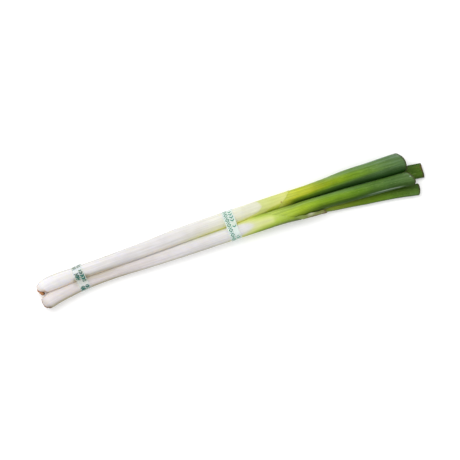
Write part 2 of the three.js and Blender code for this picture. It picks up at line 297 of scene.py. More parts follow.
def colour_scale(tree, place, stops):
    """A run of colours: stops are (place from 0 to 1, colour)."""
    ramp = tree.nodes.new("ShaderNodeValToRGB")
    feed(tree, ramp.inputs[0], place)
    elements = ramp.color_ramp.elements
    elements[0].position = stops[0][0]
    elements[0].color = stops[0][1]
    elements[1].position = stops[-1][0]
    elements[1].color = stops[-1][1]
    for position, colour in stops[1:-1]:
        elements.new(position).color = colour
    return ramp.outputs[0]


def mottled(tree, colour, specks):
    """Round spots on the colour: each has a place in millimetres, the reach where it starts to
    fade, the reach where it is gone, its share and its colour."""
    for spot, core, rim, share, tint in specks:
        away = tree.nodes.new("ShaderNodeVectorMath")
        away.operation = "DISTANCE"
        feed(tree, away.inputs[0], tree.nodes.new("ShaderNodeTexCoord").outputs["Object"])
        away.inputs[1].default_value = [value * MM for value in spot]
        mark = between(tree, away.outputs["Value"], core * MM, rim * MM, share, 0.0)
        colour = blended(tree, mark, colour, tint)
    return colour


def add_relief(tree, shader, height, relief):
    """Fine relief that only the light shows: relief is its strength, and its depth in mm."""
    strength, depth = relief
    bump = tree.nodes.new("ShaderNodeBump")
    bump.inputs["Strength"].default_value = strength
    bump.inputs["Distance"].default_value = depth * MM
    feed(tree, bump.inputs["Height"], height)
    feed(tree, shader.inputs["Normal"], bump.outputs[0])


def plant_skin(name, stops, tints, gloss, depth, drift, specks=()):
    """Moist plant skin. A run of colours goes by the growth, and drifts from vein to vein along the
    fibre coordinate: stops are millimetres of growth, red, green and blue. Fine flecks lie on it,
    then come painted shade on its flanks, its waxy bloom mixed with painted light, patches of
    painted light and highlights, its inner skin and its dried cut edge, each as strong as the mesh
    says. Veins, streaks and clouds shade it. Light goes in where the mesh is solid."""
    material, tree, shader = new_material(name)
    fibre = attribute(tree, "fibre", "Vector")
    growth = attribute(tree, "growth")
    streaks = grain(tree, stretch(tree, fibre, STREAK_STRETCH), 1.0, 3.0)
    veins = grain(tree, stretch(tree, fibre, VEIN_STRETCH), 1.0, 2.0)
    clouds = grain(tree, fibre, CLOUD_SCALE, 3.0)
    flecks = grain(tree, stretch(tree, fibre, FLECK_STRETCH), 1.0, 1.0)

    def marked(mark, strength):
        """The mesh attribute of that name, times a strength."""
        return calculate(tree, "MULTIPLY", attribute(tree, mark), strength)

    first = stops[0][0]
    length = stops[-1][0] - first
    shift = calculate(tree, "MULTIPLY", calculate(tree, "SUBTRACT", streaks, 0.5), drift)
    place = between(tree, calculate(tree, "ADD", growth, shift), first, first + length)
    place.node.interpolation_type = "LINEAR"
    colour = colour_scale(tree, place, [((mm - first) / length, tone(*tint)) for mm, *tint in stops])

    flecked = between(tree, flecks, 0.56, 0.72, 0.0, tints["fleck_share"])
    colour = blended(tree, flecked, colour, tints["fleck"])
    # painted shade: the colour is darkened where the mesh marks shade on the flanks
    colour = blended(tree, attribute(tree, "deep"), colour, tints["deep"], tints["deep_mode"])
    # waxy bloom mixed with painted light: a glow in the sheaths' seams, sky reflection on the leaves
    bloom_share = marked("bloom", between(tree, streaks, 0.36, 0.62, 0.45, 1.0))
    colour = blended(tree, bloom_share, colour, tints["bloom"])
    # painted light: a warm pale light in the sheaths' seams, and highlights on the leaves
    chalky = marked("chalk", between(tree, streaks, 0.44, 0.60, 0.15, 1.0))
    colour = blended(tree, chalky, colour, tints["chalk"])
    shade = tints["vein_share"]
    shades = [
        between(tree, veins, 0.42, 0.68, 0.0, shade),
        between(tree, streaks, 0.40, 0.66, shade, 0.0),
        between(tree, clouds, 0.35, 0.7, 0.0, 0.5 * shade),
    ]
    for darker in shades:
        colour = blended(tree, darker, colour, tints["vein"], "MULTIPLY")
    colour = blended(tree, attribute(tree, "inner"), colour, tints["inner"])
    dried = marked("cut", between(tree, clouds, 0.2, 0.6, 0.6, 1.0))
    colour = mottled(tree, blended(tree, dried, colour, tints["cut"]), specks)
    feed(tree, shader.inputs["Base Color"], colour)

    matt = between(tree, clouds, 0.3, 0.7, gloss - 0.06, gloss + 0.1)
    feed(tree, shader.inputs["Roughness"], matt)
    shader.inputs["Specular IOR Level"].default_value = SKIN_SHINE
    weight, reach = depth
    feed(tree, shader.inputs["Subsurface Weight"], marked("solid", weight))
    shader.inputs["Subsurface Scale"].default_value = 1.0
    shader.inputs["Subsurface Radius"].default_value = [value * MM for value in reach]
    add_relief(tree, shader, calculate(tree, "ADD", veins, streaks), SKIN_RELIEF)
    return material


def flank_zones(angle, x, zones):
    """Adds up bands along a flank. A band is side (1 or -1 across), the two values of side * cos
    between which it fades in, the stations between which it starts and ends, and its share."""
    total = 0.0 * (angle + x)
    for side, low, high, (start, full, fade, gone), share in zones:
        along = ease(x, start, full) * (1 - ease(x, fade, gone))
        total = total + share * ease(side * np.cos(angle), low, high) * along
    return np.clip(total, 0.0, 1.0)


def near_angle(angle, centre, spread):
    """A bell round the section: 1 at the centre angle, falling off over the spread, in radians."""
    return np.exp(-((np.angle(np.exp(1j * (angle - centre))) / spread) ** 2))


# Rows are x, y, half width and half height of the section. The upper onion curls down at its
# root and swells again past the middle. The lower one is widest where its lower blade leaves it.
shaft_rows = {
    "a": lying_shaft([
        (-294.4, 5.3, 8.9, 8.9), (-288.0, 8.9, 10.0, 10.0), (-279.0, 10.9, 10.8, 10.8),
        (-259.7, 12.2, 10.9, 10.9), (-230.1, 13.3, 9.8, 9.8), (-185.7, 14.4, 9.9, 9.9),
        (-126.5, 16.3, 10.7, 10.7), (-67.3, 18.9, 11.6, 11.6), (-8.1, 20.3, 11.2, 11.2),
        (51.1, 21.8, 10.2, 10.2), (110.0, 21.6, 10.4, 10.4),
    ]),
    "b": lying_shaft([
        (-293.6, -14.0, 9.4, 9.4), (-287.9, -13.1, 10.8, 10.8), (-274.5, -10.5, 10.3, 10.3),
        (-259.7, -8.5, 9.5, 9.5), (-230.1, -5.4, 8.5, 8.5), (-185.7, -3.7, 7.9, 7.9),
        (-126.5, -3.7, 8.9, 8.9), (-67.3, -3.2, 10.0, 10.0), (-8.1, -2.1, 10.7, 10.7),
        (51.1, -0.8, 12.0, 12.0), (83.6, -0.7, 12.3, 12.2), (114.7, -2.2, 12.8, 11.6),
        (150.0, -5.0, 12.4, 8.5),
    ]),
}
shaft_mouths = {
    "a": {"x": 89.0, "ramp": 80.0, "per_side": 1.18, "per_up": 0.2},
    "b": {"x": 84.0, "ramp": 90.0, "per_side": -2.2, "per_up": -0.3},
}
shaft_colours = {
    "a": [
        (-300, 227, 226, 229), (-230, 223, 221, 225), (-200, 218, 216, 219),
        (-160, 214, 212, 215), (-100, 213, 211, 214), (-30, 217, 216, 213), (20, 217, 218, 202),
        (51, 214, 215, 192), (54, 200, 208, 136), (72, 198, 206, 122), (92, 204, 208, 122),
        (104, 186, 196, 84), (140, 150, 166, 40),
    ],
    "b": [
        (-300, 219, 214, 217), (-210, 208, 202, 204), (-130, 208, 203, 205), (-70, 214, 212, 216),
        (24, 214, 214, 214), (31, 211, 213, 200), (37, 208, 212, 160), (54, 203, 213, 128),
        (76, 174, 197, 84), (100, 148, 173, 54), (130, 120, 144, 40), (170, 84, 106, 30),
    ],
}
everywhere = (-400, -399, 400, 401)
past_root_tape = (-228, -222, -205, -150)  # the stretch past the tape near the roots
# Bands of painted shade on the shafts: in the seam between the onions, along the lower onion's underside
# and the upper onion's outer edge, and in the seam under and past the tape near the roots.
shaft_shade_bands = {
    "a": [
        (-1, 0.6, 1.0, everywhere, 0.15), (1, 0.90, 1.0, everywhere, 0.25),
        (1, 0.75, 1.0, (-400, -399, -195, -150), 0.4), (-1, 0.45, 1.0, past_root_tape, 0.6),
        (-1, 0.3, 0.9, (-246, -240, -224, -216), 0.8),
    ],
    "b": [
        (-1, 0.64, 0.96, everywhere, 0.7), (-1, 0.45, 0.85, (-400, -399, -200, -130), 0.5),
        (1, 0.7, 1.0, everywhere, 0.15), (1, -0.1, 0.9, past_root_tape, 0.6),
        (1, -0.2, 0.8, (-246, -240, -226, -218), 0.5),
    ],
}
sheath_tints = {
    # painted shade: the shafts' colour is multiplied by this where shade falls
    "deep": tone(190, 188, 158),
    "deep_mode": "MULTIPLY",
    # painted light: the yellow-green glow painted into the seam
    "bloom": tone(240, 240, 130),
    # painted light: a warm pale light in the seam, as if the shafts lit each other
    "chalk": tone(255, 231, 196),
    "inner": tone(186, 200, 116),
    "vein": tone(214, 211, 198),
    "vein_share": 0.22,
    "fleck": tone(226, 228, 206),
    "fleck_share": 0.12,
}
stains = {"a": tone(150, 106, 66), "b": tone(84, 62, 42)}
sheath_specks = {
    "a": [((85.1, 18.9, 21.3), 0.5, 1.7, 0.8, tone(140, 98, 46))],
    "b": [],
}


def sheath_growth(onion, station, angle):
    """Where the skin stands in the run of colours, in millimetres: its station, and a lead on the
    flanks, where the green of the inner leaves shines through first. The lead also paints shade as
    a deeper green, on the upper onion's seam side where it turns green and on the lower onion's
    outer flank. The lower onion's pale skin also reaches on in a tongue along its top."""
    if onion == "a":
        greener = ease(station, 48, 72)
        shine = 95 - 62 * ease(station, -25, 30) + 50 * greener
        return station + shine * near_angle(angle, 2.95, 0.6 + 0.2 * greener) + 3 * np.cos(2 * angle)
    near_seam = near_angle(angle, 0.20, 0.62 + 0.2 * ease(station, 28, 42))
    outer_flank = (50 + 28 * ease(station, 20, 44)) * near_angle(angle, 3.2, 0.88)
    tongue = 6 + 13 * ease(station, 44, 62) * (1 - ease(station, 65, 70))
    return station + (38 * near_seam + outer_flank) - near_angle(angle, 1.60, 0.6) * tongue


def full_flank(onion, x, angle):
    """How far the outer flank bulges: a bell along the shaft about 95 mm, times a bell round it."""
    return FLANK_BULGE[onion] * np.exp(-(((x - 95) / 32) ** 2)) * near_angle(angle, np.pi, 0.6)


for onion, rows in shaft_rows.items():
    mouth = shaft_mouths[onion]
    base = rows[0][0]
    rounding = BASE_ROUNDING[onion]
    round_turn = np.linspace(0, np.pi / 2, 8)
    rim_turn = np.linspace(0, np.pi, 6)[1:]
    skin_x = np.linspace(base + rounding, mouth["x"], int((mouth["x"] - base) / SHAFT_STEP))
    inside_x = mouth["x"] - np.linspace(1, MOUTH_DEPTH, MOUTH_RINGS)
    inside_wall = SHEATH_WALL + np.linspace(0, SHEATH_TAPER, MOUTH_RINGS)
    x, grow, fraction, inner = profile(
        (np.full(len(FACE_SHARES), base), -rounding, np.array(FACE_SHARES), 0.0),
        (base + rounding * (1 - np.cos(round_turn)), rounding * (np.sin(round_turn) - 1), 1.0, 0.0),
        (skin_x[1:], 0.0, 1.0, 0.0),
        (mouth["x"] + 0.2 * np.sin(rim_turn), 0.5 * SHEATH_WALL * (np.cos(rim_turn) - 1), 1.0, 0.5),
        (inside_x, -inside_wall, 1.0, 1.0),
    )
    angle = np.linspace(0, 2 * np.pi, SHAFT_SIDES, endpoint=False)[None, :]
    station = slanted(rows, mouth, x, angle, fraction)
    near_mouth = ease(x, mouth["x"] - MOUTH_FRAY, mouth["x"])
    station = station + near_mouth * 0.5 * waves(5, 0 * x, angle, 5, (3, 11), (50, 90))
    shorter = BASE_SLANT[onion] * fraction * ease(-np.cos(angle), -0.4, 1.0)
    station = station + shorter * (1 - ease(x, base, base + 14))
    growth = sheath_growth(onion, station, angle)
    swell = 0.10 * waves(11, x, angle, 6, (1, 5), (60, 170)) + full_flank(onion, x, angle)
    ribs = 0.035 * waves(12, x, angle, 10, (16, 40), (90, 260))
    gripped = sum(np.exp(-(((x - held) / TAPE_GRIP) ** 4)) for held, _ in TAPE_PLACES.values())
    plain = ease(x, base, base + 12) * (1 - near_mouth) * (1 - inner) * (1 - gripped)
    relief = (swell + ribs) * plain
    if onion == "a":
        sheath_end = ease(growth, 51, 53.5) * ease(x, 0, 30) * (1 - near_mouth)
        relief = relief - SHEATH_STEP * sheath_end
    seam = SEAM_TURN[onion]
    press = SEAM_PRESS + SEAM_LEAN[onion] * ease(x, -60, 30)
    press = press * near_angle(angle, seam, 0.7) * ease(x, base + 5, base + 15)
    rings = skin(rows, station, angle, grow + relief + press, fraction)
    all_over = np.ones_like(growth)
    lower_side = 0.3 + 0.7 * ease(-np.cos(angle), *STAIN_SIDE[onion])
    base_stain = ease(-x, -base - STAIN_REACH[onion], -base - 0.2) * (inner < 1) * lower_side
    # painted light: a yellow-green glow painted along the seam
    glow = near_angle(angle, seam, GLOW_SPREAD[onion]) * ease(x, -80, -35) * (1 - ease(x, 48, 70))
    sheath_material = plant_skin(
        "white_sheath_" + onion, shaft_colours[onion], sheath_tints | {"cut": stains[onion]},
        SHEATH_GLOSS, SHEATH_DEPTH, SHEATH_DRIFT, sheath_specks[onion],
    )
    shaft = add_tube(
        "shaft_" + onion, rings, sheath_material,
        # the glow passed here is painted light in the seam
        fibre=fibre_coordinates(station, angle), growth=growth, bloom=glow,
        # painted light: a warm pale light in the seam between the shafts
        chalk=0.9 * near_angle(angle, seam, 0.55) * (1 - ease(x, -90, -45)),
        # painted shade on the shafts' flanks
        deep=flank_zones(angle, x, shaft_shade_bands[onion]), inner=(inner >= 1) * all_over,
        solid=(1 - ease(station, *SOLID_UNTIL[onion])) * all_over, cut=base_stain,
    )
    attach(shaft, "root")
    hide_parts(f"stalk_{onion}_shaft")


# Root plates
# At its base each onion ends in a hard, fibrous disc that the roots grew from. The roots were
# trimmed to stubs, and the cut tissue has dried to an orange brown.

PLATE_SIDES = 96
PLATE_RINGS = 26
STUB_SIDES = 7
STUB_SINK = 0.8  # how deep each stub starts under the dome
STUB_TURN = 2.39996  # from one stub to the next, in radians, so that they spread evenly
STUB_STEPS = [(0.0, 1.15), (0.45, 0.95), (0.85, 0.9), (1.0, 0.7)]  # share of height, of radius
ROOT_RELIEF = (0.6, 0.3)


def root_material():
    """Dried, fibrous tissue: orange brown with dark pits and pale cut ends."""
    material, tree, shader = new_material("root_plate")
    place = tree.nodes.new("ShaderNodeTexCoord").outputs["Object"]
    patches = grain(tree, place, 420.0, 4.0, 0.65)
    pits = grain(tree, place, 1500.0, 3.0)
    colour = colour_scale(tree, patches, [
        (0.25, tone(112, 70, 38)), (0.45, tone(172, 116, 72)),
        (0.6, tone(200, 146, 100)), (0.8, tone(226, 192, 152)),
    ])
    colour = blended(tree, between(tree, pits, 0.5, 0.72, 0.0, 0.6), colour, tone(86, 50, 26))
    colour = blended(tree, attribute(tree, "cut"), colour, tone(226, 200, 160))
    colour = blended(tree, attribute(tree, "aged"), colour, tone(92, 62, 38))
    feed(tree, shader.inputs["Base Color"], colour)
    shader.inputs["Roughness"].default_value = 0.85
    add_relief(tree, shader, pits, ROOT_RELIEF)
    return material


def root_stubs(seed, count, reach, dome, length):
    """Tapered stubs that stand on the dome, more of them towards its edge, each leaning outwards.
    Returns rings of points per stub: up, across and out of the plate."""
    draw = np.random.default_rng(seed)
    spread = np.sqrt(draw.uniform(0.08, 1.0, count)) * reach
    around = np.arange(count) * STUB_TURN + draw.uniform(-0.2, 0.2, count)
    foot = np.stack([spread * np.cos(around), spread * np.sin(around), dome(spread) - STUB_SINK], axis=-1)
    lean = 0.35 * spread / reach + draw.uniform(-0.1, 0.25, count)
    way = unit(np.stack([lean * np.cos(around), lean * np.sin(around), np.ones(count)], axis=-1))
    side = unit(np.cross(way, [0.0, 1.0, 0.2]))
    other = np.cross(way, side)
    turn = np.linspace(0, 2 * np.pi, STUB_SIDES, endpoint=False)
    circle = side[:, None] * np.cos(turn)[None, :, None] + other[:, None] * np.sin(turn)[None, :, None]
    thick = draw.uniform(0.42, 0.75, count)
    tall = STUB_SINK + length * draw.uniform(0.5, 1.0, count)
    rings = []
    for share, width in STUB_STEPS:
        middle = foot[:, None] + way[:, None] * (share * tall)[:, None, None]
        rings.append(middle + circle * (width * thick)[:, None, None])
    return np.stack(rings, axis=1)


plates = {
    "a": {
        "radius": 6.9, "across": -1.2, "proud": 1.9, "swing": 13.0, "aged": 0.0,
        "stubs": 58, "length": 1.3, "seed": 21,
    },
    "b": {
        "radius": 7.9, "across": -0.3, "proud": 1.3, "swing": 8.0, "aged": 0.6,
        "stubs": 60, "length": 0.9, "seed": 22,
    },
}
plate_material = root_material()
for onion, plate in plates.items():
    rows = shaft_rows[onion]
    middle, side, up, _, _ = sections(rows, np.array([rows[0][0]]))
    outward = -np.cross(side, up)
    swing = np.radians(plate["swing"])
    level = side[0] * np.cos(swing) + outward[0] * np.sin(swing)
    straight_out = outward[0] * np.cos(swing) - side[0] * np.sin(swing)
    centre = middle[0] + side[0] * plate["across"]
    axes = np.stack([up[0], level, straight_out])

    def dome(spread, plate=plate):
        """Height of the plate's face: a low dome that drops off near its edge."""
        share = np.clip(spread / plate["radius"], 0, 1)
        return plate["proud"] * (0.35 + 0.65 * np.sqrt(1 - 0.98 * share**2))

    turn = np.linspace(0, 2 * np.pi, PLATE_SIDES, endpoint=False)[None, :]
    spread = plate["radius"] * np.concatenate([[1.0, 1.0], np.linspace(1.0, 0.03, PLATE_RINGS)])[:, None]
    depth = np.concatenate([[-1.6, -0.2], dome(spread[2:, 0])])[:, None]
    lumps = 0.22 * waves(plate["seed"], 9 * spread, turn, 8, (3, 14), (20, 60))
    uneven = 1 + 0.035 * waves(plate["seed"] + 5, 0 * spread, turn, 5, (2, 9), (50, 90))
    local = np.stack([
        spread * uneven * np.cos(turn), spread * uneven * np.sin(turn), depth + lumps * (depth > 0),
    ], axis=-1)
    rings = centre + local @ axes
    stubs = root_stubs(plate["seed"], plate["stubs"], 0.86 * plate["radius"], dome, plate["length"])
    stub_rings = centre + stubs @ axes
    points = [rings.reshape(-1, 3), rings[:1].mean(axis=1), rings[-1:].mean(axis=1)]
    faces = ring_faces(*rings.shape[:2])
    done = rings.shape[0] * rings.shape[1] + 2
    cut = [np.zeros(done)]
    for stub in stub_rings:
        points += [stub.reshape(-1, 3), stub[:1].mean(axis=1), stub[-1:].mean(axis=1)]
        faces += [[corner + done for corner in face] for face in ring_faces(*stub.shape[:2])]
        cut.append(np.array([0.0] * (3 * STUB_SIDES) + [0.7] * STUB_SIDES + [0.0, 1.0]))
        done += stub.shape[0] * stub.shape[1] + 2
    piece = add_piece(
        "root_plate_" + onion, np.vstack(points), faces, plate_material, cut=np.concatenate(cut),
        aged=np.full(done, plate["aged"]),
    )
    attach(piece, "root")
    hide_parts(f"stalk_{onion}_root_plate")


# Green blades
# A blade is a hollow tube that carries on from its own sheath. The round upper blades come out of
# the mouths, and the flatter lower ones leave at their undersides. All were cut across at the end.

BLADE_SIDES = 120
BLADE_STEP = 1.3
BLADE_WALL = 0.8
HOLLOW_RINGS = 44
RIM_RINGS = 7
BLADE_GLOSS = 0.45
BLADE_DRIFT = 22.0
BLADE_DEPTH = (0.15, (1.2, 1.6, 0.4))
CUT_FRAY = 14.0  # how much of the cut end is wavy
NECK_FILL = 0.45  # how much fuller a blade is where its sheath still holds it
RIDGE_SPREAD = 0.16
RIDGE_TWIST = 0.0004  # radians round the blade for each millimetre along it


def streak_zones(angle, x, zones):
    """Adds up streaks along the skin. A streak is the angle of its middle, how far it spreads, the
    stations between which it starts and ends, and its share."""
    total = 0.0 * (angle + x)
    for centre, spread, (start, full, fade, gone), share in zones:
        along = ease(x, start, full) * (1 - ease(x, fade, gone))
        total = total + share * near_angle(angle, centre, spread) * along
    return np.clip(total, 0.0, 1.0)


# Each blade's shade bands paint shade as a deeper green, its bloom bands are waxy bloom with a painted sky
# reflection, and its pale streaks are painted highlights.
blades = {
    "upper_leaf_a": {
        "node": "stalk_a_upper_leaf",
        "slot": "upper_blade",
        "rows": [
            (58.0, 21.8, 11.2, 8.9, 8.9), (83.6, 21.7, 11.2, 9.2, 9.2), (102.9, 21.5, 11.4, 9.8, 9.6),
            (125.0, 21.2, 12.8, 10.1, 9.3), (147.3, 21.4, 14.6, 10.8, 8.9),
            (184.3, 21.8, 17.0, 12.9, 8.2), (221.3, 20.7, 17.6, 13.8, 8.0),
            (258.3, 20.0, 17.3, 15.0, 8.2), (282.0, 19.4, 17.1, 15.0, 8.3),
        ],
        "cut": {"x": 269.3, "ramp": 30.0, "per_side": -0.22, "per_up": 0.94},
        "hollow_from": 200.0,
        "neck": (92.0, 112.0),
        "colours": [
            (60, 205, 210, 112), (88, 204, 208, 100), (104, 197, 202, 74), (118, 192, 198, 54),
            (134, 191, 196, 52), (155, 155, 174, 26), (177, 140, 168, 26), (200, 122, 157, 35),
            (222, 109, 145, 48), (245, 98, 131, 66), (275, 88, 119, 72),
        ],
        "crown_lag": 16.0,
        # the flank lag and the bands below paint shade as a deeper green on the flank facing the other
        # onion
        "flank_lag": 55.0,
        "deep": [
            (-1, 0.15, 1.0, (70, 112, 130, 180), 0.97),
            (-1, 0.0, 0.85, (130, 180, 400, 401), 0.97),
        ],
        # waxy bloom, with a painted sky reflection on the +Y flank
        "bloom": [
            (1, 0.3, 0.85, (105, 190, 400, 401), 0.74),
            (1, -0.6, 0.4, (205, 262, 400, 401), 0.3),
        ],
        # painted highlight: a pale grey sheen near the cut end on the +Y side
        "chalk": [(0.42, 0.34, (250, 272, 400, 401), 0.95)],
        "ridge": (0.92, 0.30),
        "specks": [],
        "tints": {
            "deep": tone(16, 54, 0), "bloom": tone(118, 143, 120), "chalk": tone(146, 144, 150),
            "vein_share": 0.42,
        },
        "seed": 31,
        "onion": "a",
        "lean": 1.0,
    },
    "upper_leaf_b": {
        "node": "stalk_b_upper_leaf",
        "slot": "upper_blade",
        "rows": [
            (52.0, -0.6, 12.9, 10.6, 10.6), (83.6, -0.5, 13.0, 10.9, 10.9), (103.0, -0.6, 12.9, 10.4, 10.5),
            (125.0, 0.1, 13.7, 10.5, 10.0), (154.7, -0.5, 15.4, 10.5, 9.0), (184.3, -1.9, 16.8, 10.5, 8.1),
            (213.9, -3.3, 17.1, 10.3, 7.9), (243.5, -4.9, 17.2, 10.4, 7.8), (273.1, -7.0, 17.1, 11.0, 8.0),
            (290.0, -8.3, 17.0, 11.2, 8.0),
        ],
        "cut": {"x": 273.6, "ramp": 30.0, "per_side": -0.4, "per_up": 1.05},
        "hollow_from": 195.0,
        "neck": (112.0, 130.0),
        "colours": [
            (60, 202, 216, 120), (76, 194, 211, 102), (90, 182, 203, 76), (110, 166, 190, 48),
            (134, 152, 184, 42), (155, 132, 168, 32), (177, 120, 156, 34), (200, 103, 143, 34),
            (222, 90, 125, 50), (245, 85, 119, 57), (280, 88, 117, 58),
        ],
        "crown_lag": 6.0,
        "flank_lag": 0.0,
        # painted shade as a deeper green: on the -Y flank and next to the upper onion
        "deep": [(-1, -0.1, 0.75, (78, 145, 400, 401), 0.84), (1, 0.84, 1.0, (104, 130, 400, 401), 0.7)],
        # waxy bloom, with a painted sky reflection on both flanks
        "bloom": [
            (1, 0.25, 0.8, (70, 100, 190, 240), 0.5),
            (-1, 0.5, 0.9, (178, 215, 232, 262), 0.40),
            (1, -0.8, 0.4, (235, 272, 400, 401), 0.25),
        ],
        # painted highlights: a narrow gloss streak high on the -Y flank, a faint sheen near the tip
        "chalk": [(2.50, 0.08, (205, 228, 244, 264), 1.0), (0.9, 0.7, (262, 280, 400, 401), 0.25)],
        "ridge": (2.06, 0.28),
        # a painted highlight: a small pale spot on top near the cut end
        "specks": [((277.0, -4.2, 25.0), 0.4, 1.4, 0.6, tone(176, 196, 190))],
        "tints": {
            "deep": tone(36, 66, 4), "bloom": tone(104, 136, 108), "chalk": tone(196, 206, 202),
            "vein_share": 0.42,
        },
        "seed": 32,
        "onion": "b",
        "lean": -1.0,
    },
    "lower_leaf_a": {
        "node": "stalk_a_lower_leaf",
        "slot": "lower_blade",
        "rows": [
            (103.0, 20.8, 10.0, 5.0, 4.4), (125.0, 20.3, 8.3, 7.0, 4.6), (154.7, 18.4, 5.7, 8.5, 4.4),
            (184.3, 15.2, 4.3, 9.5, 4.0), (228.7, 8.2, 3.95, 10.3, 3.9), (265.7, 2.9, 3.8, 11.1, 3.8),
            (310.0, -2.8, 3.8, 11.3, 3.8),
        ],
        "cut": {"x": 299.4, "ramp": 20.0, "per_side": -0.09, "per_up": 0.1},
        "hollow_from": 190.0,
        "neck": (104.0, 106.0),
        "colours": [
            (100, 150, 172, 60), (150, 112, 142, 46), (200, 84, 118, 30), (250, 74, 106, 22),
            (304, 72, 102, 24),
        ],
        "chalk": [],
        "crown_lag": 4.0,
        "flank_lag": 0.0,
        # painted shade as a deeper green on both flanks, where this blade lies under the others
        "deep": [(-1, 0.3, 1.0, (100, 180, 400, 401), 0.5), (1, 0.5, 1.0, (100, 180, 400, 401), 0.45)],
        "bloom": [(1, 0.3, 0.9, (230, 300, 400, 401), 0.1)],
        "ridge": (1.9, 0.15),
        "specks": [
            ((299.5, 4.0, 7.5), 1.0, 4.4, 0.55, tone(98, 66, 34)),
            ((299.0, -1.0, 7.5), 0.6, 3.6, 0.45, tone(92, 66, 34)),
            ((298.0, -9.5, 7.0), 0.6, 3.0, 0.5, tone(84, 70, 40)),
            ((292.0, 5.0, 7.5), 0.4, 2.0, 0.5, tone(104, 96, 30)),
        ],
        "tints": {
            "deep": tone(30, 50, 8), "bloom": tone(96, 120, 84), "chalk": tone(130, 130, 130),
            "vein_share": 0.4,
        },
        "seed": 33,
    },
    "lower_leaf_b": {
        "node": "stalk_b_lower_leaf",
        "slot": "lower_blade",
        "rows": [
            (92.5, -4.5, 9.8, 5.2, 4.6), (114.7, -5.9, 8.2, 6.9, 6.0), (139.9, -8.2, 6.9, 7.0, 5.7),
            (162.1, -10.8, 6.0, 7.5, 5.4), (184.3, -13.4, 5.5, 7.5, 5.2), (206.5, -15.9, 5.3, 7.9, 5.1),
            (228.7, -17.9, 5.2, 8.5, 5.1), (258.3, -21.4, 5.2, 9.0, 5.2), (296.0, -29.0, 5.2, 8.6, 5.2),
        ],
        "cut": {"x": 284.3, "ramp": 20.0, "per_side": 0.0, "per_up": 0.5},
        "hollow_from": 190.0,
        "neck": (94.0, 96.0),
        "colours": [
            (90, 160, 172, 80), (140, 134, 150, 48), (177, 117, 136, 30), (200, 108, 135, 20),
            (221, 99, 131, 22), (245, 88, 122, 28), (266, 80, 112, 32), (288, 80, 112, 42),
        ],
        "chalk": [],
        "crown_lag": 4.0,
        "flank_lag": 0.0,
        # painted shade as a deeper green: on the side under the upper blade and on the -Y flank
        "deep": [(1, -0.3, 0.6, (150, 200, 400, 401), 0.45), (-1, 0.75, 1.0, (100, 150, 400, 401), 0.5)],
        "bloom": [(-1, 0.2, 0.9, (255, 285, 400, 401), 0.2)],
        "ridge": (2.2, 0.12),
        "specks": [],
        "tints": {
            "deep": tone(36, 58, 10), "bloom": tone(104, 130, 96), "chalk": tone(130, 130, 130),
            "vein_share": 0.35,
        },
        "seed": 34,
    },
}
blade_tints = {
    "deep_mode": "MIX",
    "inner": tone(150, 176, 106),
    "cut": tone(58, 48, 30),
    "vein": tone(160, 178, 110),
    "fleck": tone(176, 196, 128),
    "fleck_share": 0.22,
}
